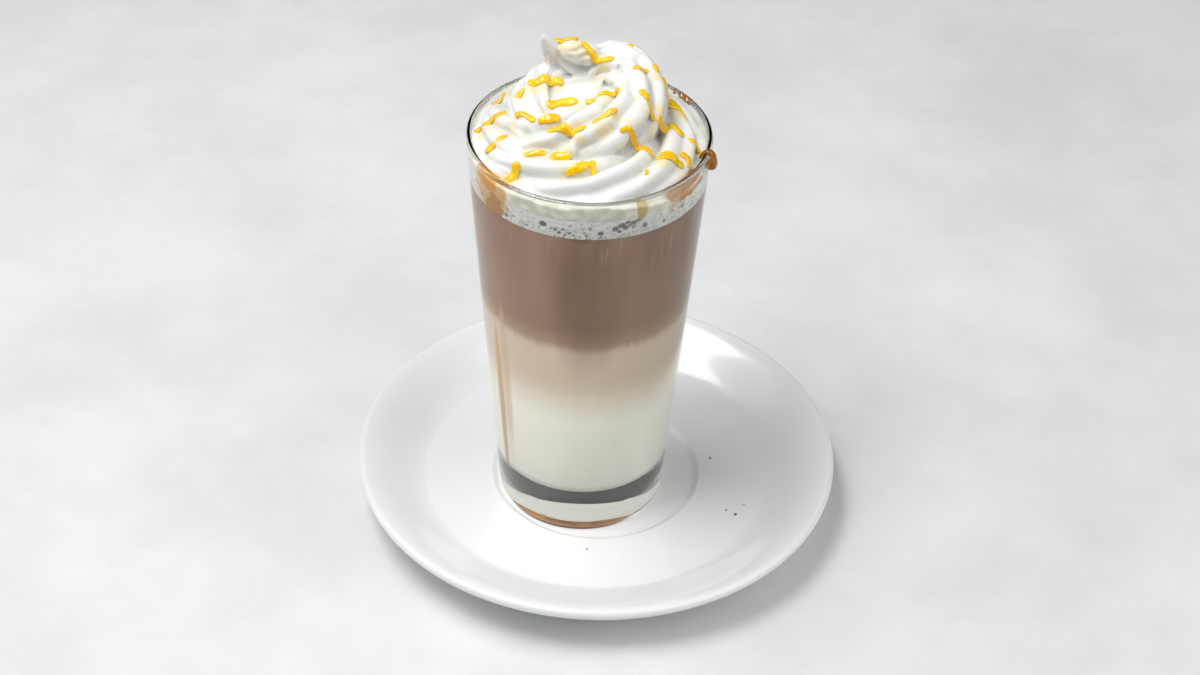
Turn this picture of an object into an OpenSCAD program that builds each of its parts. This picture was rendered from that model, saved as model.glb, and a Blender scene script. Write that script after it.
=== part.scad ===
// Layered latte in a tall tumbler, topped with piped cream, on its saucer.
// The saucer's foot stands on z = 0 and its axis is the z axis.
// The tumbler stands in the saucer's well, pushed to one side of it.

/* [Saucer] */
// Outer diameter of the saucer
saucer_d = 160; // [140:1:200]
// Height of the rim's crest above the table
saucer_h = 17.6; // [16:0.1:24]
// Diameter of the flat floor inside the sloping flange
floor_d = 115; // [100:1:120]
// Thickness of the china under the floor
china_t = 4; // [3:0.1:5]
// Thickness of the rounded rim
rim_t = 3.4; // [2.6:0.1:4.4]
// Middle diameter of the foot ring
foot_ring_d = 94; // [80:1:104]
// Width of the foot ring where it touches the table
foot_ring_w = 3; // [2:0.1:6]
// Height of the foot ring below the underside
foot_ring_h = 2.8; // [2:0.1:4]
// Depth of the well that the tumbler stands in
well_depth = 1.2; // [0.6:0.1:2]
// Width of the well's sloping step
well_step_w = 1.3; // [0.8:0.1:3]

/* [Tumbler] */
// Height of the tumbler
glass_h = 140; // [115:1:175]
// Outer diameter at the rim
glass_rim_d = 76; // [62:0.5:92]
// Outer diameter that the wall would have at the foot
glass_foot_d = 54.4; // [44:0.5:66]
// Thickness of the wall
wall_t = 2.1; // [1.6:0.1:3]
// Thickness of the heavy base
base_t = 16.5; // [10:0.5:22]
// Radius of the rounded heel
heel_r = 2.6; // [1:0.1:4]
// Radius of the corner between the inner floor and the wall
inner_corner_r = 4; // [2:0.5:8]
// Depth of the hollow under the base, at its edge
punt_depth = 1; // [0.4:0.1:2]
// Height of the low dome in the middle of the hollow
punt_dome = 1.4; // [0.4:0.1:2.4]
// Free play between the foot and the edge of the well's floor
well_play = 6.1; // [1:0.1:8]
// Gap left between the foot and the step on the near side
near_gap = 0.4; // [0.2:0.1:1]
// Direction that the tumbler is pushed towards
push_dir = 208; // [0:1:360]

/* [Drink] */
// Clearance between the drink and the glass
fit_gap = 0.05; // [0.02:0.01:0.2]
// Distance from the rim down to the top of the foam
foam_below_rim = 7.5; // [4:0.5:12]
// Thickness of the foam
foam_t = 6.5; // [3:0.5:12]
// Thickness of the coffee layer
coffee_t = 42.5; // [20:0.5:52]
// Thickness of the layer where coffee and milk have mixed
blend_t = 20; // [8:0.5:25]

/* [Cream] */
// Height of the peak above the rim
peak_h = 28.5; // [25:0.5:36]
// Radius of the piped rope
rope_r = 11; // [9:0.25:13]
// Radius of the rope at its tip
tip_r = 2.4; // [1.5:0.1:4]
// Radius of the upper turn, to the rope's middle
upper_r = 14; // [11:0.5:16]
// Height of the upper turn's middle above the rim
upper_h = 13; // [9:0.5:16]
// Turns from the start of the rope to its tip
turns = 1.91; // [1.75:0.01:2.1]
// Direction in which the rope starts
start_dir = 200; // [0:1:360]
// Number of points of the star nozzle
star_points = 8; // [6:1:10]
// Depth of the grooves as a share of the rope's radius
groove = 0.17; // [0.05:0.01:0.25]
// Turns that the grooves make about the rope's own middle
groove_twist = 0.5; // [0:0.05:1]
// How far the upper turn leans to the back
lean_y = 4; // [0:0.5:6]
// Height above the rim of the mound inside the upper turn
core_h = 20; // [10:0.5:22]
// Radius of that mound at the rim
core_r = 26; // [18:0.5:28]
// How far that mound stands to the back
core_y = 6; // [0:0.5:8]

/* [Hidden] */
$fn = 96;

// Points of an arc about c, from angle a0 to a1 in n steps.
function arc(c, r, a0, a1, n) =
    [for (i = [0:n]) let (a = a0 + (a1 - a0) * i / n) c + r * [cos(a), sin(a)]];

// Value on a smooth S from 0 to 1 as x goes from 0 to 1.
function ease(x) = let (u = min(1, max(0, x))) u * u * (3 - 2 * u);

function mix(a, b, u) = a + (b - a) * u;

// Saucer levels and radii
saucer_r = saucer_d / 2;
floor_r = floor_d / 2;
well_r = glass_foot_d / 2 + well_play;
well_z = foot_ring_h + china_t;
floor_z = well_z + well_depth;
bead_r = rim_t / 2;
bead = [saucer_r - bead_r, saucer_h - bead_r];
flange_steps = 10;
step_steps = 6;
// Share of the flange's rise that is a straight slope; the rest is an S.
flange_straight = 0.55;
// Small edge break and flare of the foot ring
foot_edge = 0.5;
foot_flare = 1;

// Height of the flange's upper face at radius r.
function flange_z(r) =
    let (u = (r - floor_r) / (bead[0] - floor_r))
    mix(floor_z, saucer_h, mix(ease(u), u, flange_straight));

// Tumbler radii: outside and inside of the wall at a height above its foot
wall_slope = (glass_rim_d - glass_foot_d) / 2 / glass_h;
function glass_r(z) = glass_foot_d / 2 + wall_slope * z;
function cavity_r(z) = glass_r(z) - wall_t * sqrt(1 + wall_slope * wall_slope);
// The ring that the foot stands on, inside the heel, the slope up to the punt, and where its dome eases
stand_w = 3;
punt_slope_w = 3;
dome_mid_r = 10;
glass_shift = well_play - near_gap;
glass_at = [glass_shift * cos(push_dir), glass_shift * sin(push_dir), well_z];

// Levels in the tumbler, above its foot
foam_top = glass_h - foam_below_rim;
foam_z = foam_top - foam_t;
coffee_z = foam_z - coffee_t;
blend_z = coffee_z - blend_t;

// The rope's middle line: the first turn lies against the wall with its middle
// a little below the rim, on a level bed. The second turn climbs over it and the
// end curls up to the tip. Places along the rope are counted in turns.
rope_gap = 0.3;
rope_below_rim = 6;
bed_below_rim = 3;
cream_r = cavity_r(glass_h) - fit_gap;
first_r = cream_r - rope_r - rope_gap;
first_z = glass_h - rope_below_rim;
upper_z = glass_h + upper_h;
last_z = glass_h + peak_h - tip_r;
bed_z = glass_h - bed_below_rim;
inwards_from = 0.8;
inwards_turns = 0.4;
climb_from = 0.95;
curl_turns = 0.29;
curl_from = turns - curl_turns;

// Share of the final curl done at t, from 0 where it begins to 1 at the tip.
function curl(t) = max(0, t - curl_from) / curl_turns;

function rope_radius(t) = mix(rope_r, tip_r, pow(curl(t), 2));
function rope_mid(t) =
    let (inwards = ease((t - inwards_from) / inwards_turns),
         climb = ease((t - climb_from) / (curl_from - climb_from)),
         a = start_dir + 360 * t,
         r = mix(first_r, upper_r, inwards),
         z = mix(mix(first_z, upper_z, climb), last_z, pow(curl(t), 3)))
    [r * cos(a), r * sin(a) + lean_y * inwards, z];

// Steps along the rope: its middle, its radius, the level direction across it
// and the angle that its grooves have turned to.
rope_steps = 110;
steps = [for (i = [0:rope_steps])
    let (t = turns * i / rope_steps,
         a = start_dir + 360 * t)
    [rope_mid(t), rope_radius(t), [cos(a), sin(a)], 360 * groove_twist * t]];

// Height of one step's grooved ball over a point, or the bed where it misses.
function step_top(s, p) =
    let (d = p - [s[0].x, s[0].y],
         across = min(1, max(-1, d * s[2] / s[1])),
         ridge = 0.5 + 0.5 * cos(star_points * (acos(across) - s[3])),
         r = s[1] * (1 - groove * (1 - ridge)),
         q = norm(d))
    q < r ? s[0].z + sqrt(r * r - q * q) : bed_z;

// Height of the rounded mound inside the turns.
function core_top(p) =
    let (q = norm(p - [0, core_y]) / core_r)
    glass_h + core_h * (1 - q * q);

function cream_top(p) = max(bed_z, core_top(p), max([for (s = steps) step_top(s, p)]));

// A slice of the drink between two levels of the tumbler.
module drink_slice(z0, z1) {
    translate(glass_at)
        translate([0, 0, z0])
            cylinder(h = z1 - z0, r1 = cavity_r(z0) - fit_gap, r2 = cavity_r(z1) - fit_gap);
}

module saucer() {
    under_z = foot_ring_h;
    ring_in = foot_ring_d / 2 - foot_ring_w / 2;
    ring_out = foot_ring_d / 2 + foot_ring_w / 2;
    // China thickness shrinks evenly from the floor to the rim.
    function under(r) =
        flange_z(r) - mix(china_t + well_depth, rim_t, (r - floor_r) / (bead[0] - floor_r));
    color("white")
        rotate_extrude()
            polygon(concat(
                [[0, under_z], [ring_in - foot_flare, under_z], [ring_in, foot_edge],
                 [ring_in + foot_edge, 0], [ring_out - foot_edge, 0], [ring_out, foot_edge],
                 [ring_out + foot_flare, under_z]],
                [for (i = [0:flange_steps - 1]) let (r = mix(floor_r, bead[0], i / flange_steps)) [r, under(r)]],
                arc(bead, bead_r, -80, 90, 10),
                [for (i = [flange_steps - 1:-1:0]) let (r = mix(floor_r, bead[0], i / flange_steps)) [r, flange_z(r)]],
                [for (i = [step_steps:-1:0]) let (u = i / step_steps)
                    [well_r + well_step_w * u, mix(well_z, floor_z, ease(u))]],
                [[0, well_z]]));
}

module glass() {
    heel = [glass_r(heel_r) - heel_r, heel_r];
    lip_r = wall_t / 2;
    lip = [glass_r(glass_h) - lip_r, glass_h - lip_r];
    corner = [cavity_r(base_t + inner_corner_r) - inner_corner_r, base_t + inner_corner_r];
    slope_a = atan(wall_slope);
    color([0.85, 0.9, 0.9, 0.35])
        translate(glass_at)
            rotate_extrude()
                polygon(concat(
                    [[0, punt_depth + punt_dome], [dome_mid_r, punt_depth + 0.6 * punt_dome]],
                    [[heel[0] - stand_w - punt_slope_w, punt_depth], [heel[0] - stand_w, 0]],
                    arc(heel, heel_r, -90, -slope_a, 8),
                    arc(lip, lip_r, -slope_a, 180 - slope_a, 10),
                    arc(corner, inner_corner_r, -slope_a, -90, 6),
                    [[0, base_t]]));
}

module milk() {
    // The bottom edge follows the rounded corner of the tumbler's floor.
    corner_r = inner_corner_r - fit_gap;
    corner = [cavity_r(base_t + inner_corner_r) - inner_corner_r, base_t + inner_corner_r];
    color([0.93, 0.92, 0.86])
        translate(glass_at)
            rotate_extrude()
                polygon(concat(
                    [[0, base_t + fit_gap]],
                    arc(corner, corner_r, -90, -atan(wall_slope), 6),
                    [[cavity_r(blend_z) - fit_gap, blend_z], [0, blend_z]]));
}

module milk_blend() {
    color([0.8, 0.71, 0.6])
        drink_slice(blend_z, coffee_z);
}

module coffee() {
    color([0.5, 0.39, 0.32])
        drink_slice(coffee_z, foam_z);
}

module foam() {
    color([0.88, 0.88, 0.84])
        drink_slice(foam_z, foam_top);
}

// Piped cream: it fills the tumbler from the foam up, and its top is the upper
// face of the rope's turns, worked out on rings about the tumbler's axis.
module cream() {
    rings = 28;
    sectors = 72;
    top = [for (i = [1:rings - 1], j = [0:sectors - 1])
        let (r = cream_r * i / rings,
             a = 360 * j / sectors,
             p = r * [cos(a), sin(a)])
        [p.x, p.y, cream_top(p)]];
    // Along its edge the cream follows the wall's taper below the rim.
    edge = [for (j = [0:sectors - 1])
        let (out = [cos(360 * j / sectors), sin(360 * j / sectors)],
             z = cream_top(cream_r * out),
             r = cavity_r(min(z, glass_h)) - fit_gap)
        [r * out.x, r * out.y, z]];
    foot_r = cavity_r(foam_top) - fit_gap;
    foot = [for (j = [0:sectors - 1])
        let (a = 360 * j / sectors)
        [foot_r * cos(a), foot_r * sin(a), foam_top]];
    points = concat(top, edge, foot, [[0, 0, cream_top([0, 0])], [0, 0, foam_top]]);
    crown = len(points) - 2;
    faces = concat(
        [for (j = [0:sectors - 1]) [crown, (j + 1) % sectors, j]],
        [for (i = [0:rings - 1], j = [0:sectors - 1])
            let (k = (j + 1) % sectors, n = i * sectors)
            each [[n + j, n + k, n + sectors + k], [n + j, n + sectors + k, n + sectors + j]]],
        [for (j = [0:sectors - 1]) let (n = rings * sectors) [crown + 1, n + j, n + (j + 1) % sectors]]);
    color([0.98, 0.97, 0.94])
        translate(glass_at)
            polyhedron(points = points, faces = faces, convexity = 8);
}

saucer();
glass();
milk();
milk_blend();
coffee();
foam();
cream();
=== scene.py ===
"""A layered latte in a tall tumbler, with piped cream and caramel sauce, on a white saucer."""

import bpy
import numpy as np
from mathutils import Matrix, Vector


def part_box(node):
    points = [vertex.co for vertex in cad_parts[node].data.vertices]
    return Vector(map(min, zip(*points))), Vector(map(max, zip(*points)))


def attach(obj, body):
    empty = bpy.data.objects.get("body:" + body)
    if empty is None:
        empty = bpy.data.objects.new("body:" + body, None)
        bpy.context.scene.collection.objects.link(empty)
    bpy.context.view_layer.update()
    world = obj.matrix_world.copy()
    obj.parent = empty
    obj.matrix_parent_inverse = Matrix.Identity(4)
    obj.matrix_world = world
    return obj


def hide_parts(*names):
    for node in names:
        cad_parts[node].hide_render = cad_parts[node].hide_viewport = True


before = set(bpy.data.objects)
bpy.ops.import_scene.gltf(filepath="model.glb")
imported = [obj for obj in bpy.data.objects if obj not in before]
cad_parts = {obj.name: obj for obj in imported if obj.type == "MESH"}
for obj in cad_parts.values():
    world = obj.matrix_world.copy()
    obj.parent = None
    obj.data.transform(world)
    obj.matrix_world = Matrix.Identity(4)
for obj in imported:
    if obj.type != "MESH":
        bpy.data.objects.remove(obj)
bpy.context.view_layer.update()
scene = bpy.context.scene
MM = 0.001


# ---- Camera -------------------------------------------------------------------------------
# A short telephoto lens, looking down on the drink from the front and leaning a little, as a
# camera held by hand does.
CAMERA_AT = (0.1 * MM, -662.3 * MM, 593.2 * MM)
LOOKS_DOWN = np.radians(38.585)
LEANS = np.radians(1.787)
LENS = 78.0

ahead = np.array([0.0, np.cos(LOOKS_DOWN), -np.sin(LOOKS_DOWN)])
level = np.array([1.0, 0.0, 0.0])
above = np.cross(level, ahead)
right = np.cos(LEANS) * level + np.sin(LEANS) * above
up = np.cos(LEANS) * above - np.sin(LEANS) * level
camera_data = bpy.data.cameras.new("camera")
camera_data.lens = LENS
camera_data.sensor_width = 36.0
camera = bpy.data.objects.new("camera", camera_data)
turn = Matrix((right, up, -ahead)).transposed().to_4x4()
camera.matrix_world = Matrix.Translation(CAMERA_AT) @ turn
scene.collection.objects.link(camera)
scene.camera = camera


# ---- Lights -------------------------------------------------------------------------------
# A soft light hangs overhead, a little to the left and front, with a smaller one behind it. White
# walls on both sides throw light back, and the room beyond them is dark. The walls don't show
# through the clear glass, whose base is dark under the drink.
SUBJECT = np.array([0.0, 0.0, 0.06])
# Name, direction, distance, size and watts.
LAMPS = (
    ("overhead", (-0.34, -0.2, 0.92), 0.95, 0.40, 4.8),
    ("behind", (-0.31, 0.2, 0.93), 0.95, 0.27, 1.5),
    ("left_wall", (-0.75, 0.0, 0.62), 1.5, 1.6, 8.6),
    ("right_wall", (0.72, -0.3, 0.58), 1.5, 1.6, 11.5),
    ("high_front", (0.1, -0.3, 0.95), 1.2, 0.80, 1.2),
)
ROOM = (0.55, 0.57, 0.6)
ROOM_POWER = 0.06


def hang_lamp(name, towards, distance, size, watts):
    """A square soft light of one size, at a distance from the subject and facing it."""
    way = np.array(towards) / np.linalg.norm(towards)
    data = bpy.data.lights.new(name, "AREA")
    data.size = size
    data.energy = watts
    lamp = bpy.data.objects.new(name, data)
    side = np.cross((0.0, 1.0, 0.0), way)
    side = side / np.linalg.norm(side)
    facing = Matrix((side, np.cross(way, side), way)).transposed().to_4x4()
    lamp.matrix_world = Matrix.Translation(SUBJECT + way * distance) @ facing
    scene.collection.objects.link(lamp)


for lamp in LAMPS:
    hang_lamp(*lamp)
for side in ("left_wall", "right_wall"):
    bpy.data.objects[side].visible_transmission = False
world = bpy.data.worlds.new("room")
world.use_nodes = True
world.node_tree.nodes["Background"].inputs["Color"].default_value = (*ROOM, 1.0)
world.node_tree.nodes["Background"].inputs["Strength"].default_value = ROOM_POWER
scene.world = world
scene.view_settings.view_transform = "Standard"


# ---- Floor --------------------------------------------------------------------------------
# A plain pale table top, which is not part of the object. It also brings the tools that every
# later section uses: meshes from arrays, and material maths.
FLOOR_SIZE = 1.6


def solid(name, points, faces):
    """A mesh object from an array of points and a list of face arrays, in metres."""
    mesh = bpy.data.meshes.new(name)
    mesh.from_pydata(np.asarray(points).tolist(), [], [f for part in faces for f in part.tolist()])
    mesh.polygons.foreach_set("use_smooth", np.full(len(mesh.polygons), True))
    mesh.update()
    piece = bpy.data.objects.new(name, mesh)
    scene.collection.objects.link(piece)
    return piece


class Wire:
    """A socket in a material's node tree. Maths on it adds Math nodes; add() makes any other."""

    def __init__(self, tree, socket=None):
        self.tree = tree
        self.socket = socket

    def add(self, kind, settings=None, values=None, out=0):
        """A node of one kind: its settings first, then its sockets, set or linked."""
        node = self.tree.nodes.new("ShaderNode" + kind)
        for key, value in (settings or {}).items():
            setattr(node, key, value)
        for key, value in (values or {}).items():
            if isinstance(value, Wire):
                self.tree.links.new(value.socket, node.inputs[key])
            else:
                node.inputs[key].default_value = value
        return Wire(self.tree, node.outputs[out] if len(node.outputs) else None)

    def maths(self, operation, first, second):
        """A Math node of one operation on two wires or numbers."""
        return self.add("Math", {"operation": operation}, {0: first, 1: second})

    def __add__(self, other):
        return self.maths("ADD", self, other)

    def __sub__(self, other):
        return self.maths("SUBTRACT", self, other)

    def __mul__(self, other):
        return self.maths("MULTIPLY", self, other)

    def __truediv__(self, other):
        return self.maths("DIVIDE", self, other)

    def __radd__(self, other):
        return self.maths("ADD", other, self)

    def __rsub__(self, other):
        return self.maths("SUBTRACT", other, self)

    def __rmul__(self, other):
        return self.maths("MULTIPLY", other, self)

    def between(self, low, high):
        """0 below low, 1 above high, and a smooth step between them."""
        settings = {"interpolation_type": "SMOOTHSTEP"}
        return self.add("MapRange", settings, {"Value": self, "From Min": low, "From Max": high})

    def blend(self, first, second):
        """The first colour where this is 0 and the second where it is 1."""
        return self.add("Mix", {"data_type": "RGBA"}, {0: self, 6: first, 7: second}, 2)


def noise(at, scale, detail=2.0, roughness=0.5):
    """Noise of 0 to 1 about 0.5, at scale lumps a metre."""
    return at.add("TexNoise", {}, {"Vector": at, "Scale": scale, "Detail": detail, "Roughness": roughness})


def begin_material(name):
    """A material with no nodes yet, and its object coordinates."""
    material = bpy.data.materials.new(name)
    material.use_nodes = True
    material.node_tree.nodes.clear()
    at = Wire(material.node_tree).add("TexCoord", out="Object")
    return material, at


def end_material(material, shader, *pieces):
    """Joins the shader to the output and gives the material to the pieces."""
    shader.add("OutputMaterial", {}, {"Surface": shader})
    for piece in pieces:
        piece.data.materials.clear()
        piece.data.materials.append(material)


half = FLOOR_SIZE / 2
floor = solid(
    "floor",
    [(-half, -half, 0.0), (half, -half, 0.0), (half, half, 0.0), (-half, half, 0.0)],
    [np.array([[0, 1, 2, 3]])],
)
material, at = begin_material("table_top")
mottle = noise(at, 14.0, 5.0, 0.6)
stone = mottle.between(0.3, 0.7).blend((0.74, 0.745, 0.755, 1.0), (0.84, 0.84, 0.84, 1.0))
shader = at.add("BsdfPrincipled", {}, {"Base Color": stone, "Roughness": 0.75, "Specular IOR Level": 0.2})
end_material(material, shader, floor)


# ---- Saucer -------------------------------------------------------------------------------
# White glazed china, turned on a wheel: a flat floor with a shallow well, a sloping flange and a
# thick rounded rim, on a foot ring. All its sections are turned round the z axis.
SAUCER_R = 80.0 * MM
SAUCER_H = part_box("saucer")[1].z
WELL_R, WELL_STEP = 33.0 * MM, 2.0 * MM
WELL_Z, FLOOR_Z = 6.8 * MM, 8.0 * MM
FLOOR_R = 57.5 * MM
RIM_R = 1.7 * MM
CHINA_T = 5.2 * MM
FOOT_IN, FOOT_OUT = 45.5 * MM, 48.5 * MM
UNDER_Z = 2.8 * MM


def ease(x):
    """A smooth S from 0 to 1 as x goes from 0 to 1: three x squared less two x cubed."""
    u = np.clip(x, 0.0, 1.0)
    return u * u * (3.0 - 2.0 * u)


def rounded(corners, steps=8):
    """An outline through corners (r, z, radius), with an arc of that radius at each corner.
    The arc is a quadratic curve between the two points where it leaves the straight runs."""
    corners = np.array(corners, float)
    path = [corners[:1, :2]]
    for before, here, after in zip(corners[:-2], corners[1:-1], corners[2:]):
        back = before[:2] - here[:2]
        on = after[:2] - here[:2]
        back_l, on_l = np.linalg.norm(back), np.linalg.norm(on)
        back, on = back / back_l, on / on_l
        half_turn = 0.5 * np.arccos(np.clip(back @ on, -0.9999, 0.9999))
        cut = min(here[2] / np.tan(half_turn), 0.49 * back_l, 0.49 * on_l)
        u = np.linspace(0.0, 1.0, steps + 1)[:, None]
        start, end = here[:2] + back * cut, here[:2] + on * cut
        radius = cut * np.tan(half_turn)
        middle = here[:2] + (back + on) / np.linalg.norm(back + on) * radius / np.sin(half_turn)
        a0 = np.arctan2(*(start - middle)[::-1])
        a1 = np.arctan2(*(end - middle)[::-1])
        sweep = (a1 - a0 + np.pi) % (2 * np.pi) - np.pi
        a = a0 + sweep * u
        path.append(middle + radius * np.hstack([np.cos(a), np.sin(a)]))
    path.append(corners[-1:, :2])
    return np.vstack(path)


def turned(name, outline, at=(0.0, 0.0, 0.0), sectors=192):
    """A solid of revolution: each outline point (r, z) goes round in a ring, the rings are joined
    by quads, and the first and last point lie on the axis and close the ends."""
    outline = np.asarray(outline)
    r, z = outline[1:-1, 0], outline[1:-1, 1]
    a = np.linspace(0.0, 2 * np.pi, sectors, endpoint=False)
    rings = np.stack([np.outer(r, np.cos(a)), np.outer(r, np.sin(a)), np.outer(z, np.ones(sectors))], 2)
    ends = np.array([[0.0, 0.0, outline[0, 1]], [0.0, 0.0, outline[-1, 1]]])
    points = np.vstack([rings.reshape(-1, 3), ends]) + np.array(at)
    return solid(name, points, ring_faces(len(r), sectors, len(points) - 2, len(points) - 1))


def ring_faces(rows, columns, first_end=None, last_end=None):
    """Quads between rows of points that close on themselves, and fans to an end point at each
    end. Rows count outwards and upwards, so that faces look outwards."""
    index = np.arange(rows * columns).reshape(rows, columns)
    nxt = np.roll(index, -1, 1)
    quads = np.stack([index[:-1], nxt[:-1], nxt[1:], index[1:]], 2).reshape(-1, 4)
    faces = [quads]
    if first_end is not None:
        faces.append(np.stack([np.full(columns, first_end), nxt[0], index[0]], 1))
    if last_end is not None:
        faces.append(np.stack([np.full(columns, last_end), index[-1], nxt[-1]], 1))
    return faces


bead_r, bead_z = SAUCER_R - RIM_R, SAUCER_H - RIM_R
u = np.linspace(0.0, 1.0, 28)
flange_r = FLOOR_R + (bead_r - FLOOR_R) * u
flange_z = FLOOR_Z + (SAUCER_H - FLOOR_Z) * (0.55 * u + 0.45 * ease(u))
flange = np.stack([flange_r, flange_z], 1)
under = np.stack([flange_r, flange_z - CHINA_T + (CHINA_T - 2 * RIM_R) * u], 1)
a = np.radians(np.linspace(-78.0, 90.0, 18))
bead = np.stack([bead_r + RIM_R * np.cos(a), bead_z + RIM_R * np.sin(a)], 1)
foot = rounded([
    (0.0, UNDER_Z, 0.0), (FOOT_IN - 1.0 * MM, UNDER_Z, 1.0 * MM), (FOOT_IN, 0.0, 0.5 * MM),
    (FOOT_OUT, 0.0, 0.5 * MM), (FOOT_OUT + 1.0 * MM, UNDER_Z, 1.5 * MM), tuple(under[0]) + (0.0,),
])
well = rounded([
    tuple(flange[0]) + (0.0,), (WELL_R + WELL_STEP, FLOOR_Z, 0.9 * MM), (WELL_R, WELL_Z, 0.9 * MM),
    (0.0, WELL_Z, 0.0),
])
saucer = turned("saucer_china", np.vstack([foot, under[1:-1], bead, flange[-2:0:-1], well]))
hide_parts("saucer")
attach(saucer, "root")

material, at = begin_material("white_glaze")
cloud = noise(at, 9.0, 3.0)
glaze = cloud.between(0.35, 0.65).blend((0.86, 0.875, 0.89, 1.0), (0.9, 0.91, 0.92, 1.0))
ripple = at.add("Bump", {}, {"Strength": 0.06, "Distance": 0.4 * MM, "Height": noise(at, 70.0, 2.0)})
shader = at.add("BsdfPrincipled", {}, {
    "Base Color": glaze, "Roughness": 0.16, "IOR": 1.5, "Coat Weight": 0.35, "Coat Roughness": 0.05,
    "Normal": ripple,
})
end_material(material, shader, saucer)


# ---- Tumbler ------------------------------------------------------------------------------
# Clear pressed glass with a thick heavy base over a low domed hollow, a rounded heel and a
# fire-polished rim. The lamps' rays pass straight through it, as they nearly do through a real
# thin wall.
GLASS_LOW, GLASS_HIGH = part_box("glass")
GLASS_AT = (GLASS_LOW + GLASS_HIGH) / 2
GLASS_AT.z = GLASS_LOW.z
GLASS_H = GLASS_HIGH.z - GLASS_LOW.z
RIM_OUT, FOOT_R = 38.0 * MM, 27.2 * MM
WALL, BASE_T = 2.1 * MM, 16.5 * MM
HEEL_R, CORNER_R = 2.6 * MM, 4.0 * MM
PUNT, DOME, DOME_R = 1.0 * MM, 1.4 * MM, 10.0 * MM
WALL_SLOPE = (RIM_OUT - FOOT_R) / GLASS_H


def wall_r(z):
    """Radius of the wall's inner face at a height above the tumbler's foot."""
    return FOOT_R + WALL_SLOPE * z - WALL * np.sqrt(1 + WALL_SLOPE ** 2)


STAND_R = FOOT_R + WALL_SLOPE * HEEL_R - HEEL_R - 3.0 * MM
tumbler = turned("tumbler", rounded([
    (0.0, PUNT + DOME, 0.0), (DOME_R, PUNT + 0.6 * DOME, 12.0 * MM), (STAND_R - 3.0 * MM, PUNT, 3.0 * MM),
    (STAND_R, 0.0, 1.0 * MM), (FOOT_R, 0.0, HEEL_R),
    (RIM_OUT, GLASS_H, WALL / 2), (wall_r(GLASS_H), GLASS_H, WALL / 2), (wall_r(BASE_T), BASE_T, CORNER_R),
    (0.0, BASE_T, 0.0),
], 10), GLASS_AT, 256)
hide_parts("glass")
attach(tumbler, "root")

material, at = begin_material("clear_glass")
clear = at.add("BsdfPrincipled", {}, {
    "Base Color": (0.975, 0.985, 0.98, 1.0), "Roughness": 0.0, "IOR": 1.5, "Transmission Weight": 1.0,
})
passed = at.add("BsdfTransparent", {}, {"Color": (0.97, 0.98, 0.975, 1.0)})
from_lamp = at.add("LightPath", out="Is Shadow Ray")
end_material(material, at.add("MixShader", {}, {0: from_lamp, 1: clear, 2: passed}), tumbler)


# ---- Milk and coffee ----------------------------------------------------------------------
# Milk at the bottom, coffee on top, and a beige layer where they have mixed. The liquid wets the
# glass, so it is one solid that reaches a hair into the wall, and only its colour changes. Its
# underside has a painted glow: emission that stands in for light spread through the milk.
INTO_WALL = 0.25 * MM
MILK_TOP, BLEND_TOP, COFFEE_TOP = 63.5 * MM, 83.5 * MM, 126.0 * MM
drink = turned("milk_and_coffee", rounded([
    (0.0, BASE_T - INTO_WALL, 0.0), (wall_r(BASE_T) + INTO_WALL, BASE_T - INTO_WALL, CORNER_R),
    (wall_r(COFFEE_TOP) + INTO_WALL, COFFEE_TOP, 0.0), (0.0, COFFEE_TOP, 0.0),
], 10), GLASS_AT, 256)
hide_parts("milk", "milk_blend", "coffee")
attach(drink, "root")


def on_wall(at, turn, middle, half_wide, half_high):
    """A field on the wall that is 1 in the middle of a patch, 0 on its oval edge and less outside:
    turn is the patch's bearing in degrees, middle its height above the foot."""
    x, y, z = [at.add("SeparateXYZ", {}, {0: at}, axis) - move for axis, move in zip("XYZ", GLASS_AT)]
    c, s = float(np.cos(np.radians(turn))), float(np.sin(np.radians(turn)))
    aside = (y * c - x * s) / half_wide
    above = (z - middle) / half_high
    behind = (0.0 - (x * c + y * s)).between(-2 * MM, 2 * MM)
    return 1.0 - aside * aside - above * above - behind * 9.0


def streaks(at, fine, tall):
    """Noise of 0 to 1 that is fine round the tumbler and stretched upright, in streaks."""
    thin = at.add("Mapping", {}, {"Vector": at, "Scale": (1.0, 1.0, 1.0 / tall)})
    return noise(thin, fine, 3.0, 0.55)


material, at = begin_material("layered_drink")
height = at.add("SeparateXYZ", {}, {0: at}, "Z") - GLASS_AT.z
drift = noise(at, 55.0, 2.0) * (3.0 * MM) - 1.5 * MM
fine = streaks(at, 500.0, 14.0)
wide = streaks(at, 120.0, 9.0)
level_z = height + drift + (fine - 0.5) * (3.0 * MM)
milk = (0.90, 0.89, 0.80, 1.0)
beige = (0.60, 0.50, 0.385, 1.0)
tan = (0.36, 0.24, 0.155, 1.0)
brown = (0.27, 0.165, 0.11, 1.0)
dark = (0.215, 0.125, 0.08, 1.0)
low = (level_z - MILK_TOP).between(-18 * MM, 5 * MM).blend(milk, beige)
middle = (level_z - BLEND_TOP).between(-5.5 * MM, -0.5 * MM).blend(low, tan)
tone = (level_z - BLEND_TOP).between(-2 * MM, 6 * MM).blend(middle, brown)
tone = ((height - BLEND_TOP).between(10 * MM, 38 * MM) * wide.between(0.35, 0.65)).blend(tone, dark)
pale = fine.between(0.62, 0.72) * (height - COFFEE_TOP).between(-26 * MM, -1 * MM)
tone = (pale * 0.6).blend(tone, (0.46, 0.35, 0.27, 1.0))
# Darker in an upright band down the front of the coffee.
front_dark_band = on_wall(at, 271.0, 104.0 * MM, 12.0 * MM, 32.0 * MM) + (wide - 0.5) * 1.0
tone = (front_dark_band.between(-0.5, 1.1) * 0.6).blend(tone, (0.12, 0.062, 0.034, 1.0))
run = on_wall(at, 218.0, 56.0 * MM, 2.6 * MM, 34.0 * MM) + (wide - 0.5) * 1.6
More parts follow.
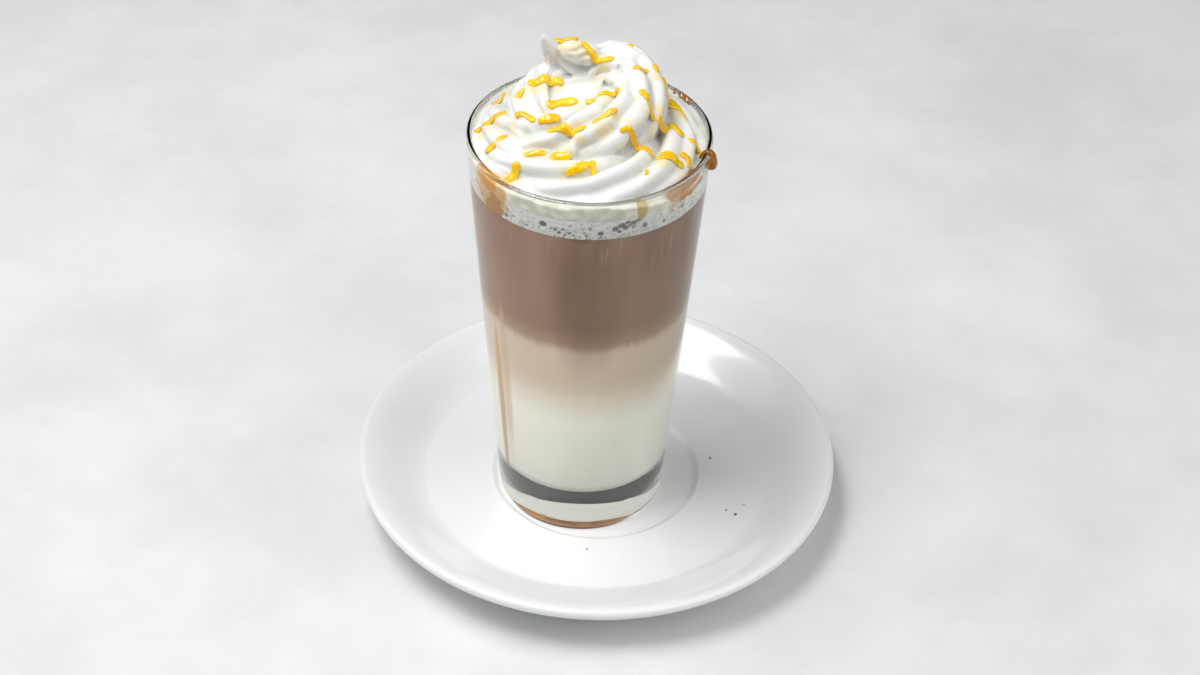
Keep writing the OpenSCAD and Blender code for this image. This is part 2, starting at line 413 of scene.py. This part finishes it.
tone = (run.between(-0.3, 0.9) * 0.6).blend(tone, (0.56, 0.39, 0.28, 1.0))
gold = on_wall(at, 211.0, 46.0 * MM, 1.8 * MM, 38.0 * MM) + (wide - 0.5) * 0.8
tone = (gold.between(-0.1, 0.5) * 0.85).blend(tone, (0.54, 0.32, 0.12, 1.0))
patch = on_wall(at, 268.0, COFFEE_TOP, 3.5 * MM, 2.6 * MM) + (noise(at, 300.0) - 0.5) * 0.8
tone = (patch.between(0.0, 0.4) * 0.6).blend(tone, (0.12, 0.055, 0.015, 1.0))
# Painted glow: the milk's underside emits a faint pale grey light into the clear base.
underside = 1.0 - (height - BASE_T).between(-0.2 * MM, 0.3 * MM)
painted_glow = underside.blend((0.0, 0.0, 0.0, 1.0), (0.40, 0.41, 0.38, 1.0))
shader = at.add("BsdfPrincipled", {}, {
    "Base Color": tone, "Roughness": 0.6, "Specular IOR Level": 0.0, "Emission Color": painted_glow,
    "Emission Strength": 0.6,
})
end_material(material, shader, drink)


# ---- Foam ---------------------------------------------------------------------------------
# Milk foam on the coffee: a pale band of fine bubbles under the cream. Where a bubble stands
# against the glass the foam is hollowed, and the hollow is darkened with painted shade.
FOAM_TOP = 132.5 * MM
FOAM_ROWS, FOAM_COLUMNS = 56, 1024
FINE_BUBBLES = 900
# Bearing in degrees, depth below the rim and radius in millimetres.
BUBBLES = (
    (284, 10.6, 1.0), (287, 9.6, 1.1), (286, 11.8, 0.7), (289, 10.8, 0.9), (290, 8.9, 0.9),
    (291, 10.1, 0.6),
    (293, 9.3, 1.0), (293, 10.9, 0.6), (295, 8.6, 0.7), (299, 11.2, 0.9), (249, 10.4, 1.2), (253, 11.4, 0.4),
    (255, 11.6, 0.5), (257, 12.5, 0.6), (259, 11.1, 0.5), (260, 13.0, 0.4), (262, 12.2, 0.5),
    (264, 12.9, 0.4), (277, 12.0, 0.9), (277, 13.4, 0.4), (265, 10.9, 0.3), (269, 11.6, 0.3),
    (272, 10.6, 0.3), (270, 12.6, 0.4),
    (310, 12.2, 0.6), (322, 10.4, 0.8), (228, 12.4, 0.7), (233, 11.4, 0.4), (240, 12.8, 0.4),
    (20, 11.0, 1.0),
    (60, 12.2, 0.9), (64, 10.6, 1.1), (95, 12.4, 0.8), (130, 11.2, 1.0), (134, 12.6, 0.6), (170, 10.8, 0.9),
)


def foam_skin():
    """The foam as rings: from the middle of its foot, up the wall and in to the middle of its top.
    Up the wall, each bubble hollows it by the height of a ball's surface over its middle."""
    a = np.linspace(0.0, 2 * np.pi, FOAM_COLUMNS, endpoint=False)[None, :]
    z = np.linspace(COFFEE_TOP - INTO_WALL, FOAM_TOP, FOAM_ROWS)[:, None]
    wall = wall_r(z) + INTO_WALL + 0.0 * a
    rng = np.random.default_rng(7)
    bearings = rng.uniform(0, 360, FINE_BUBBLES)
    depths = 7.5 + 6.5 * rng.power(1.6, FINE_BUBBLES)
    fine = np.column_stack([bearings, depths, rng.uniform(0.10, 0.26, FINE_BUBBLES)])
    hollow = np.zeros_like(wall)
    for bearing, depth, size in np.vstack([np.array(BUBBLES), fine]):
        gap = (a - np.radians(bearing) + np.pi) % (2 * np.pi) - np.pi
        near = np.abs(gap[0]) < 0.06
        away = (wall[:, near] * gap[:, near]) ** 2 + (z - GLASS_H + depth * MM) ** 2
        ball = np.sqrt(np.clip((size * MM) ** 2 - away, 0.0, None))
        hollow[:, near] = np.maximum(hollow[:, near], ball + 0.2 * MM * (ball > 0))
    r = wall - hollow
    wall_points = np.stack([r * np.cos(a), r * np.sin(a), z + 0.0 * a], 2).reshape(-1, 3)
    points = np.vstack([wall_points, [[0.0, 0.0, z[0, 0]], [0.0, 0.0, z[-1, 0]]]]) + np.array(GLASS_AT)
    return points, ring_faces(FOAM_ROWS, FOAM_COLUMNS, len(points) - 2, len(points) - 1), hollow.ravel()


points, faces, hollow = foam_skin()
foam = solid("foam", points, faces)
# Painted shade in the bubble hollows: full where the foam is hollowed by 0.7 mm or more.
bubble_shade_amount = np.concatenate([np.clip(hollow / (0.7 * MM), 0.0, 1.0), [0.0, 0.0]]).astype(np.float32)
foam.data.attributes.new("bubble_shade", "FLOAT", "POINT").data.foreach_set("value", bubble_shade_amount)
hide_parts("foam")
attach(foam, "root")


def smeared(at, tone):
    """The sauce that has run down between the cream and the wall: a wide patch at the left, gold
    above and brown below, a thin amber one at the right and a yellow tongue at the front."""
    rough = (noise(at, 330.0, 4.0, 0.65) - 0.5) * 3.4
    left = on_wall(at, 217.0, 131.0 * MM, 7.5 * MM, 9.0 * MM) + rough
    low_left = on_wall(at, 220.0, 127.0 * MM, 4.5 * MM, 7.0 * MM) + rough
    rim_left = on_wall(at, 214.0, 136.0 * MM, 5.5 * MM, 3.4 * MM) + rough * 0.6
    right = on_wall(at, 326.0, 136.0 * MM, 10.0 * MM, 4.0 * MM) + rough * 0.6
    tongue = on_wall(at, 297.0, 136.5 * MM, 2.0 * MM, 6.5 * MM) + rough * 0.3
    thread = on_wall(at, 318.0, 131.0 * MM, 7.0 * MM, 5.0 * MM) + rough * 1.3
    tone = (left.between(-0.2, 0.4) * 0.85).blend(tone, (0.66, 0.38, 0.07, 1.0))
    tone = (low_left.between(0.1, 0.5) * 0.9).blend(tone, (0.46, 0.20, 0.03, 1.0))
    tone = (rim_left.between(0.0, 0.4) * 0.95).blend(tone, (0.66, 0.28, 0.008, 1.0))
    tone = (thread.between(0.7, 1.2) * 0.6).blend(tone, (0.55, 0.32, 0.12, 1.0))
    tone = (tongue.between(0.0, 0.5) * 0.8).blend(tone, (0.50, 0.35, 0.07, 1.0))
    return (right.between(0.0, 0.4) * 0.92).blend(tone, (0.44, 0.18, 0.004, 1.0))


material, at = begin_material("milk_foam")
froth = noise(at, 700.0, 4.0, 0.6)
tone = froth.between(0.3, 0.65).blend((0.68, 0.70, 0.67, 1.0), (0.84, 0.85, 0.82, 1.0))
tone = smeared(at, tone)
bubble_shade = at.add("Attribute", {"attribute_name": "bubble_shade"}, out="Fac")
# Painted shade: the bubble hollows turn dark brown-grey.
tone = (bubble_shade * 0.85).blend(tone, (0.15, 0.11, 0.09, 1.0))
grain = at.add("Bump", {}, {"Strength": 0.4, "Distance": 0.2 * MM, "Height": noise(at, 2200.0, 2.0)})
shader = at.add("BsdfPrincipled", {}, {
    "Base Color": tone, "Roughness": 0.5, "Specular IOR Level": 0.3, "Normal": grain,
})
end_material(material, shader, foam)


# ---- Cream --------------------------------------------------------------------------------
# Whipped cream, piped through a star nozzle in one rope: once round against the wall, then a
# smaller turn on top that climbs to a curled tip, with a second peak beside it. Beneath them,
# cream fills the glass down to the foam and is pressed against the wall. All is one skin.
ROPE_R, TIP_R = 11.0 * MM, 1.3 * MM
FIRST_R, UPPER_R = 24.4 * MM, 13.2 * MM
FIRST_Z, UPPER_Z, TIP_Z = -6.0 * MM, 11.2 * MM, 28.2 * MM
START_TURN, TURNS = 200.0 / 360.0, 1.885
INWARDS_FROM, INWARDS_TURNS = 0.8, 0.4
CLIMB_FROM, CURL_TURNS = 0.7, 0.29
STAR_POINTS, GROOVE, TWIST, TWIST_START = 8, 0.31, 0.95, -0.03
LEAN_Y = 4.0 * MM
BED_R, BED_H, BED_Y = 22.0 * MM, 15.0 * MM, 5.0 * MM
CREAM_VOXEL = 0.47 * MM
RIM_Z = GLASS_HIGH.z


def mix(first, second, share):
    """The value that is a share of the way from the first to the second."""
    return first + (second - first) * share


def wave(x, seed, octaves=4):
    """A smooth irregular wave of about -1 to 1 with a period of 1 in x: a sum of sines, each of
    about twice the frequency and two thirds of the height of the one before, with fixed phases."""
    total = 0.0
    for k in range(octaves):
        rate = 2 ** k + ((seed + k) % 2 if k else 0)
        total = total + 0.66 ** k * np.sin(2 * np.pi * (rate * x + 0.37 * seed + 0.61 * k * k))
    return total / 1.6


def rope_line(t):
    """The rope's middle and radius after t turns: round the axis at the first radius, moving
    inwards and climbing by smooth S curves, with a last lift by the cube of the curl. The hand's
    tremble moves it a little sideways and swells it a little."""
    curl = np.clip((t - TURNS + CURL_TURNS) / CURL_TURNS, 0.0, 1.0)
    inwards = ease((t - INWARDS_FROM) / INWARDS_TURNS)
    climb = ease((t - CLIMB_FROM) / (TURNS - CURL_TURNS - CLIMB_FROM))
    a = 2 * np.pi * (START_TURN + t)
    r = mix(FIRST_R, UPPER_R, inwards) - 0.3 * MM * (1 + wave(2.0 * t, 3)) + 3.5 * MM * curl ** 2
    z = mix(mix(FIRST_Z, UPPER_Z, climb), TIP_Z, curl ** 3) + 0.5 * MM * wave(1.5 * t, 5) * (1 - curl)
    line = np.stack([r * np.cos(a), r * np.sin(a) + LEAN_Y * inwards, z], 1)
    radius = mix(ROPE_R, TIP_R, curl ** 1.35) * (1 + 0.025 * wave(2.0 * t, 1))
    end = np.clip((t - TURNS + 0.035) / 0.035, 0.0, 1.0)
    return line + np.array([GLASS_AT.x, GLASS_AT.y, RIM_Z]), radius * np.sqrt(1.0 - 0.97 * end ** 2)


def star_section(t, twist, points=STAR_POINTS, groove=GROOVE, steps=144):
    """The nozzle's section at each t, as (across, up): a circle with scalloped grooves, whose
    depth is one less the absolute cosine of half the points' angle. The grooves are uneven, and
    the whole section turns with t."""
    b = np.linspace(0.0, 2 * np.pi, steps, endpoint=False)[None, :]
    t = t[:, None]
    uneven = 0.85 + 0.3 * np.sin(3 * b + 5.0 * t) + 0.22 * np.sin(5 * b - 9.0 * t + 1.0)
    scallop = 1.0 - np.abs(np.cos(0.5 * points * b))
    star = 1.0 - groove * uneven * scallop
    angle = b + 2 * np.pi * (twist * t + TWIST_START)
    return star * np.cos(angle), star * np.sin(angle)


def swept(line, radius, section):
    """A closed tube along a line: at each point its section is laid square to the line, with its
    first axis level and its second as near upright as that allows, and scaled by the radius."""
    along = np.gradient(line, axis=0)
    along = along / np.linalg.norm(along, axis=1, keepdims=True)
    side = np.cross(along, (0.0, 0.0, 1.0))
    side = side / np.linalg.norm(side, axis=1, keepdims=True)
    top = np.cross(side, along)
    across, lift = section
    spread = across[:, :, None] * side[:, None] + lift[:, :, None] * top[:, None]
    rings = line[:, None] + radius[:, None, None] * spread
    points = np.vstack([rings.reshape(-1, 3), line[:1], line[-1:]])
    return points, ring_faces(len(line), across.shape[1], len(points) - 2, len(points) - 1)


def dollop(turn, r, z, size, lean=0.0):
    """A short fat length of rope. Its turn, its distance from the axis and its height above the rim
    go from their first value to their second, and its radius is size times the square root of one
    less the fourth power of how far along it is from its middle."""
    v = np.linspace(-1.0, 1.0, 60)
    a, out, high = [mix(first, last, 0.5 + 0.5 * v) for first, last in (turn, r, z)]
    a = 2 * np.pi * a
    line = np.stack([out * np.cos(a), out * np.sin(a) + lean, high + 0.8 * MM * np.sin(2 * v)], 1)
    line = line + np.array([GLASS_AT.x, GLASS_AT.y, RIM_Z])
    return swept(line, size * np.sqrt(1.0 - 0.97 * v ** 4), star_section(0.3 * v, 0.5))


def bed_edge(a):
    """Height of the bed's edge on the wall: just under the rim, uneven, and lowest at the front
    right, where the cream has pulled away."""
    slump = np.exp(-((np.mod(a / (2 * np.pi) + 0.5, 1.0) - 0.39) / 0.07) ** 2)
    return GLASS_H - 2.4 * MM + 0.7 * MM * wave(3 * a / (2 * np.pi), 2) - 3.5 * MM * slump


def cream_bed():
    """The cream under the rope: rings from the middle of its foot, out along the foam, up the wall
    to the uneven edge, and in over a low mound that leans towards the back."""
    a = np.linspace(0.0, 2 * np.pi, 256, endpoint=False)
    edge = bed_edge(a)
    full = np.ones_like(a)
    levels = [mix(FOAM_TOP, edge, v) for v in (0.2, 0.5, 0.8, 1.0)]
    rings = [(wall_r(FOAM_TOP) + INTO_WALL, FOAM_TOP - INTO_WALL, 0.0)]
    rings += [(wall_r(level) + INTO_WALL, level, 0.0) for level in levels]
    rings += [(wall_r(edge) - 1.2 * MM, edge + 0.9 * MM, 0.0), (BED_R, GLASS_H - 1.0 * MM, BED_Y)]
    rings += [(BED_R * np.sqrt(1 - k / 10), GLASS_H + BED_H * k / 10, BED_Y) for k in range(1, 10)]
    points = [np.stack([r * full * np.cos(a), r * full * np.sin(a) + y, z * full], 1) for r, z, y in rings]
    ends = np.array([[0.0, 0.0, FOAM_TOP - INTO_WALL], [0.0, BED_Y, GLASS_H + BED_H - 0.3 * MM]])
    points = np.vstack(points + [ends]) + np.array(GLASS_AT)
    return points, ring_faces(len(rings), 256, len(points) - 2, len(points) - 1)


def one_skin(name, parts, voxel, rounds):
    """One closed skin round several closed parts: voxel remeshed and smoothed a few times."""
    shift = np.cumsum([0] + [len(points) for points, _ in parts[:-1]])
    faces = [grid + first for (_, grids), first in zip(parts, shift) for grid in grids]
    rough = solid(name, np.vstack([points for points, _ in parts]), faces)
    remesh = rough.modifiers.new("one_skin", "REMESH")
    remesh.mode = "VOXEL"
    remesh.voxel_size = voxel
    soften = rough.modifiers.new("soften", "SMOOTH")
    soften.factor = 0.5
    soften.iterations = rounds
    finished = rough.evaluated_get(bpy.context.evaluated_depsgraph_get())
    mesh = bpy.data.meshes.new_from_object(finished)
    mesh.polygons.foreach_set("use_smooth", np.full(len(mesh.polygons), True))
    rough.modifiers.clear()
    rough.data = mesh
    return rough


t = np.linspace(0.0, TURNS, 520)
rope = swept(*rope_line(t), star_section(t, TWIST))
shoulder = dollop((0.33, 0.63), (14.0 * MM, 20.5 * MM), (12.0 * MM, 0.0), 8.2 * MM, 3.0 * MM)
peak = dollop((0.39, 0.22), (11.5 * MM, 9.0 * MM), (24.3 * MM, 17.6 * MM), 3.9 * MM, 3.0 * MM)
start = dollop((0.27, 0.66), (25.0 * MM, 25.0 * MM), (-5.8 * MM, -5.8 * MM), 10.4 * MM)
cream = one_skin("cream", [rope, cream_bed(), shoulder, peak, start], CREAM_VOXEL, 3)
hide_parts("cream")
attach(cream, "root")


def vertices(piece):
    """The piece's points as an array."""
    flat = np.empty(3 * len(piece.data.vertices))
    piece.data.vertices.foreach_get("co", flat)
    return flat.reshape(-1, 3)


def top_of(piece, cell):
    """A height map of the piece seen from above, round the tumbler's axis: the highest point in
    each square cell, with empty cells filled from their neighbours, then blurred a little."""
    half = 90
    points = vertices(piece)
    across = np.rint((points[:, :2] - np.array(GLASS_AT)[:2]) / cell).astype(int) + half
    heights = np.full((2 * half + 1, 2 * half + 1), -1.0)
    np.maximum.at(heights, (across[:, 0], across[:, 1]), points[:, 2])
    for _ in range(3):
        wide = np.max([np.roll(heights, step, axis) for step in (-1, 1) for axis in (0, 1)], 0)
        heights = np.where(heights < 0, wide, heights)
    for _ in range(2):
        for axis in (0, 1):
            heights = (np.roll(heights, 1, axis) + 2 * heights + np.roll(heights, -1, axis)) / 4
    return heights


def look_up(grid, x, y, cell):
    """The grid's value at x and y from the tumbler's axis, between the four nearest cells."""
    u = np.clip(x / cell + 90, 0, 179.999)
    v = np.clip(y / cell + 90, 0, 179.999)
    i, j = u.astype(int), v.astype(int)
    u, v = u - i, v - j
    low = grid[i, j] * (1 - v) + grid[i, j + 1] * v
    high = grid[i + 1, j] * (1 - v) + grid[i + 1, j + 1] * v
    return low * (1 - u) + high * u


CELL = 0.5 * MM
cream_top = top_of(cream, CELL)


# ---- Caramel sauce ------------------------------------------------------------------------
# Yellow caramel sauce, drizzled from a spoon that swings from wall to wall as it moves back over
# the cream. The thread wanders and breaks, and lies in strands that are thick where it ran full.
DRIZZLE_R, DRIZZLE_Y = 32.5 * MM, (-26.5 * MM, 21.0 * MM)
SWINGS, SWING_START = 8.0, 0.62
LOOPS, LOOP_R = 21.0, 2.4 * MM
BREAKS, BREAK_BELOW = 20.0, 0.05
STRAND_W, SHORTEST = 1.5 * MM, 1.2 * MM
SAUCE_VOXEL = 0.2 * MM


def even_steps(path, step):
    """The same path with points at even steps of its own length."""
    walked = np.concatenate([[0.0], np.cumsum(np.linalg.norm(np.diff(path, axis=0), axis=1))])
    marks = np.linspace(0.0, walked[-1], max(int(walked[-1] / step), 6))
    return np.stack([np.interp(marks, walked, path[:, k]) for k in range(path.shape[1])], 1)


def drizzle():
    """The strands as (width, path), seen from above and from the tumbler's axis. Sideways the spoon
    swings by a sine that fills the glass, while it moves evenly back and trembles in small loops.
    The thread lies where an irregular wave stands above a level, and the higher the wave, the
    wider the strand."""
    s = np.linspace(0.0, 1.0, 8000)
    y = mix(*DRIZZLE_Y, s)
    x = np.sqrt(DRIZZLE_R ** 2 - y ** 2) * np.sin(np.pi * (SWINGS * s + SWING_START))
    tremble = 2 * np.pi * (LOOPS * s + 0.2 * wave(5 * s, 2))
    path = np.stack([x + LOOP_R * np.sin(tremble), y + LOOP_R * np.cos(tremble)], 1)
    full = wave(BREAKS * s, 6, 3) - BREAK_BELOW
    ends = np.flatnonzero(np.diff(full > 0)) + 1
    runs = [(run.max(), line) for run, line in zip(np.split(full, ends), np.split(path, ends))]
    laid = [(most, line) for most, line in runs if most > 0 and np.ptp(line, axis=0).max() > SHORTEST]
    return [(STRAND_W * (0.6 + 0.9 * most), line) for most, line in laid]


def sauce_strand(number, width, flat):
    """A strand of sauce on the cream: its path is laid on the height map, and its section is an
    ellipse square to the cream, under half as thick as wide, uneven along the way, with round
    ends."""
    flat = even_steps(flat, 0.1 * MM)
    path = np.column_stack([flat, look_up(cream_top, flat[:, 0], flat[:, 1], CELL)])
    path = even_steps(path, 0.2 * MM)
    x, y = path[:, 0], path[:, 1]
    slope_x = (look_up(cream_top, x + CELL, y, CELL) - look_up(cream_top, x - CELL, y, CELL)) / (2 * CELL)
    slope_y = (look_up(cream_top, x, y + CELL, CELL) - look_up(cream_top, x, y - CELL, CELL)) / (2 * CELL)
    square = np.stack([-slope_x, -slope_y, np.ones(len(x))], 1)
    square = square / np.linalg.norm(square, axis=1, keepdims=True)
    along = np.gradient(path, axis=0)
    side = np.cross(along, square)
    side = side / np.linalg.norm(side, axis=1, keepdims=True)
    v = np.linspace(-1.0, 1.0, len(path))
    lumps = 1.0 + 0.16 * wave(len(path) * (v + 1) / 60.0, number, 3)
    half = 0.6 * width * lumps * np.sqrt(1.0 - 0.96 * np.abs(v) ** (2 + 2 * len(path) / 20))
    b = np.linspace(0.0, 2 * np.pi, 16, endpoint=False)
    spread = np.cos(b)[None, :, None] * side[:, None] + 0.42 * np.sin(b)[None, :, None] * square[:, None]
    rings = path[:, None] + half[:, None, None] * spread + 0.1 * MM * square[:, None]
    points = np.vstack([rings.reshape(-1, 3), rings[:1].mean(1), rings[-1:].mean(1)])
    points[:, :2] += np.array(GLASS_AT)[:2]
    return (points, ring_faces(len(path), 16, len(points) - 2, len(points) - 1)), path


strands = [sauce_strand(number, *strand) for number, strand in enumerate(drizzle())]
sauce = one_skin("caramel_sauce", [tube for tube, _ in strands], SAUCE_VOXEL, 2)
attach(sauce, "root")

material, at = begin_material("caramel")
pool = noise(at, 260.0, 2.0)
yellow = pool.between(0.35, 0.62).blend((0.97, 0.50, 0.002, 1.0), (0.98, 0.65, 0.005, 1.0))
shader = at.add("BsdfPrincipled", {}, {
    "Base Color": yellow, "Roughness": 0.12, "IOR": 1.45, "Subsurface Weight": 0.15,
    "Subsurface Radius": (1.0, 0.6, 0.1), "Subsurface Scale": 0.8 * MM, "Coat Weight": 0.4,
})
end_material(material, shader, sauce)


# ---- Finish of the cream ------------------------------------------------------------------
# The cream is matt and nearly white, warmer where thin sauce has run into it, greyed with painted
# shade down in its folds, and darkened with painted shade where it is pressed on the glass below the rim.
def blot(points, reach):
    """A map of 0 to 1 that is 1 on the given points and fades with distance as a bell curve."""
    centres = (np.arange(181) - 90) * CELL
    gap_x = centres[:, None] - points[None, :, 0]
    gap_y = centres[:, None] - points[None, :, 1]
    near = np.exp(-(gap_x ** 2) / (2 * reach ** 2)) @ np.exp(-(gap_y ** 2) / (2 * reach ** 2)).T
    return np.clip(near * 0.25, 0.0, 1.0)


def softened(grid, reach):
    """The height map averaged over its neighbourhood, by a bell curve of the given reach."""
    place = np.arange(181) * CELL
    bell = np.exp(-((place[:, None] - place[None, :]) ** 2) / (2 * reach ** 2))
    bell = bell / bell.sum(1, keepdims=True)
    return bell @ grid @ bell.T


FOLD_REACH, FOLD_DEPTH = 1.6 * MM, 0.6 * MM
laid = np.vstack([path for _, path in strands])
run_out = blot(laid[::3] + np.array([0.0, -1.5 * MM, 0.0]), 1.8 * MM)
points = vertices(cream)
local = points - np.array([GLASS_AT.x, GLASS_AT.y, 0.0])
buried = look_up(cream_top, local[:, 0], local[:, 1], CELL) - local[:, 2]
stain = look_up(run_out, local[:, 0], local[:, 1], CELL) * np.clip(1.5 - buried / (2 * MM), 0.0, 1.0)
cream.data.attributes.new("stain", "FLOAT", "POINT").data.foreach_set("value", stain.astype(np.float32))
# Painted shade in the folds: how far the cream lies below its softened height map, near its top.
sunk = look_up(softened(cream_top, FOLD_REACH) - cream_top, local[:, 0], local[:, 1], CELL)
fold_shade = np.clip(sunk / FOLD_DEPTH, 0.0, 1.0) * np.clip(1.5 - buried / (2 * MM), 0.0, 1.0)
cream.data.attributes.new("fold_shade", "FLOAT", "POINT").data.foreach_set("value", fold_shade.astype(np.float32))

material, at = begin_material("whipped_cream")
stained = at.add("Attribute", {"attribute_name": "stain"}, out="Fac")
patches = noise(at, 190.0, 3.0, 0.6).between(0.42, 0.62)
high = at.add("SeparateXYZ", {}, {0: at}, "Z")
# Painted shade below the rim: darker greyish cream for the light that the rim and the cream above keep from
# it, with real sauce smears laid over it.
shade_and_sauce_below_rim = noise(at, 260.0, 3.0).between(0.35, 0.65).blend((0.62, 0.62, 0.50, 1.0), (0.82, 0.81, 0.73, 1.0))
shade_and_sauce_below_rim = smeared(at, shade_and_sauce_below_rim)
tone = (stained * patches * 0.9).blend((0.82, 0.83, 0.815, 1.0), (0.86, 0.73, 0.43, 1.0))
fold_shade_fac = at.add("Attribute", {"attribute_name": "fold_shade"}, out="Fac")
# Painted shade: grey-green in the folds.
tone = (fold_shade_fac * 0.7).blend(tone, (0.64, 0.65, 0.57, 1.0))
tone = (high - (RIM_Z - 3.0 * MM)).between(0.0, 2.0 * MM).blend(shade_and_sauce_below_rim, tone)
grain = at.add("Bump", {}, {"Strength": 0.25, "Distance": 0.3 * MM, "Height": noise(at, 900.0, 3.0, 0.6)})
shader = at.add("BsdfPrincipled", {}, {
    "Base Color": tone, "Roughness": 0.5, "Subsurface Weight": 0.45, "Subsurface Radius": (1.0, 0.9, 0.75),
    "Subsurface Scale": 2.0 * MM, "Specular IOR Level": 0.35, "Normal": grain,
})
end_material(material, shader, cream)


# ---- Drip over the rim --------------------------------------------------------------------
# One run of sauce has gone over the rim at the right and hangs outside in a thick dark drop, and
# a few beads of it have dried on the rim at the back.
DRIP_TURN = -14.0
DRIP_PATH = ((34.6, -2.6, 0.5), (35.6, -0.6, 0.7), (36.7, 0.5, 0.8), (38.0, 0.6, 0.9), (38.7, -1.0, 1.1),
             (38.7, -2.6, 1.5), (38.5, -4.4, 1.8), (38.4, -5.4, 1.7))
RIM_BEADS = ((32.0, 0.5), (34.5, 0.9), (36.5, 0.7), (39.0, 0.8), (44.0, 0.4))


def smooth_path(places, rounds=4):
    """A smooth curve through soft corners: each round cuts every corner at a quarter and three
    quarters of its sides, and keeps the two ends."""
    path = np.array(places, float)
    for _ in range(rounds):
        cut = np.stack([0.75 * path[:-1] + 0.25 * path[1:], 0.25 * path[:-1] + 0.75 * path[1:]], 1)
        path = np.vstack([path[:1], cut.reshape(-1, path.shape[1]), path[-1:]])
    return path


def over_rim(turn, places):
    """A run of sauce in an upright plane through the axis: a tube along places of (out, height
    above the rim, radius), a third wider than it is thick."""
    route = even_steps(smooth_path(places), 0.25) * MM
    v = np.linspace(-1.0, 1.0, len(route))
    a = np.radians(turn)
    out = np.array([np.cos(a), np.sin(a), 0.0])
    aside = np.array([-np.sin(a), np.cos(a), 0.0])
    line = route[:, :1] * out + route[:, 1:2] * np.array([0.0, 0.0, 1.0])
    line = line + np.array([GLASS_AT.x, GLASS_AT.y, RIM_Z]) + aside * 0.3 * MM * np.sin(3 * v)[:, None]
    along = np.gradient(line, axis=0)
    along = along / np.linalg.norm(along, axis=1, keepdims=True)
    face = np.cross(aside, along)
    b = np.linspace(0.0, 2 * np.pi, 24, endpoint=False)
    spread = 1.3 * np.cos(b)[None, :, None] * aside + np.sin(b)[None, :, None] * face[:, None]
    half = route[:, 2] * np.sqrt(1.0 - 0.97 * np.abs(v) ** 12)
    rings = line[:, None] - half[:, None, None] * spread
    points = np.vstack([rings.reshape(-1, 3), rings[:1].mean(1), rings[-1:].mean(1)])
    return points, ring_faces(len(line), 24, len(points) - 2, len(points) - 1)


runs = [over_rim(DRIP_TURN, DRIP_PATH)]
for turn, size in RIM_BEADS:
    runs.append(over_rim(turn, ((35.6, -1.2, size), (36.4, 0.0, size), (37.2, 0.2, 0.7 * size))))
drip = one_skin("rim_drip", runs, SAUCE_VOXEL, 3)
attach(drip, "root")

material, at = begin_material("dark_caramel")
amber = noise(at, 300.0).between(0.35, 0.65).blend((0.34, 0.11, 0.004, 1.0), (0.56, 0.23, 0.008, 1.0))
shader = at.add("BsdfPrincipled", {}, {
    "Base Color": amber,
    "Roughness": 0.06, "IOR": 1.45, "Transmission Weight": 0.45, "Coat Weight": 0.5,
})
end_material(material, shader, drip)


# ---- Coffee on the saucer -----------------------------------------------------------------
# A film of spilt coffee stands under the ring that the tumbler stands on and shows through the
# clear heel at the front, and a few drops have dried on the saucer.
SPILL = np.array([
    (19.8, -0.02), (25.9, -0.02), (26.2, 0.15), (26.5, 0.55), (26.75, 0.8), (26.6, 0.85), (26.1, 0.45),
    (25.5, 0.16), (24.8, 0.06), (22.0, 0.06), (21.4, 0.2), (20.5, 0.5), (19.8, 0.7),
]) * MM
SPILL_AT = 25.0 * MM
SPILL_TURNS = (208.0, 314.0)
SPOTS = ((39, 7, 0.5), (47, -21, 0.6), (44, -19, 0.4), (-2, -40, 0.4), (50, -16, 0.3))


def crescent(name, outline, turns, at, sectors):
    """A closed outline of (r, z) carried round the z axis between two bearings, and shrunk towards
    the line where the foot meets the saucer, at both ends, by the square root of one less the
    fourth power of how far it is from the middle."""
    v = np.linspace(-1.0, 1.0, sectors)[:, None]
    a = np.radians(mix(*turns, 0.5 + 0.5 * v))
    size = np.sqrt(1.0 - 0.99 * v ** 4)
    r = SPILL_AT + (outline[:, 0] - SPILL_AT) * size
    z = outline[:, 1] * size
    rings = np.stack([r * np.cos(a), r * np.sin(a), z], 2)
    ends = rings[[0, -1]].mean(1)
    points = np.vstack([rings[:, ::-1].reshape(-1, 3), ends]) + np.array(at)
    return solid(name, points, ring_faces(sectors, len(outline), len(points) - 2, len(points) - 1))


spill = crescent("spilt_coffee", SPILL, SPILL_TURNS, GLASS_AT, 120)
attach(spill, "root")
drops = []
for x, y, size in SPOTS:
    b = np.radians(np.linspace(0.0, 90.0, 5))
    cap = np.stack([size * np.cos(b), 0.3 * size * np.sin(b)], 1)[:-1]
    drops.append((x, y, np.vstack([[0.0, 0.0], cap, [0.0, 0.3 * size]]) * MM))
spots = []
for number, (x, y, outline) in enumerate(drops):
    spots.append(turned("coffee_spot_%d" % number, outline, (x * MM, y * MM, FLOOR_Z), 16))
    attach(spots[-1], "root")

material, at = begin_material("spilt_coffee")
spilt = noise(at, 90.0, 2.0).between(0.35, 0.65).blend((0.24, 0.10, 0.02, 1.0), (0.42, 0.19, 0.04, 1.0))
shader = at.add("BsdfPrincipled", {}, {
    "Base Color": spilt,
    "Roughness": 0.08, "IOR": 1.35,
})
end_material(material, shader, spill, *spots)
